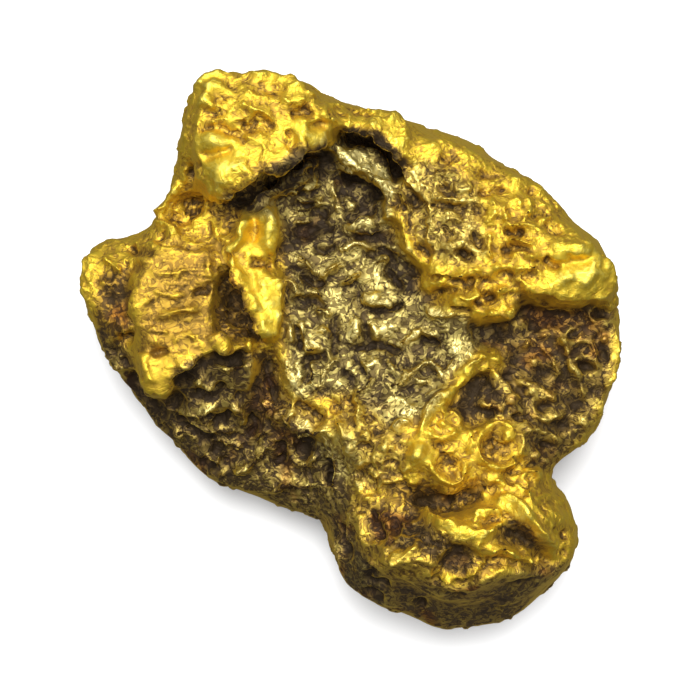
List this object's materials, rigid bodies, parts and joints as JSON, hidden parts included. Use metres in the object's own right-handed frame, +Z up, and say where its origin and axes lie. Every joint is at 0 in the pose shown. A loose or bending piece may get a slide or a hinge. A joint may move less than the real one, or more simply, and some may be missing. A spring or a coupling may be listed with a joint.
{
  "type": "gold nugget",
  "caption": "Natural water-worn gold nugget with lobes, crests and hollows, resting on worn flats on its underside.",
  "frame": {"origin": "on the resting face, under the middle of the nugget's box", "axes": "+Z up from the resting face, +Y away from the viewer as pictured, +X to the right"},
  "size_m": [0.018, 0.0184, 0.0069],
  "materials": {
    "native_gold": "natural native gold: burnished high spots, dull pitted hollows stained brown by iron oxide"
  },
  "bodies": {
    "root": {"nugget": "native_gold"}
  },
  "joints": []
}
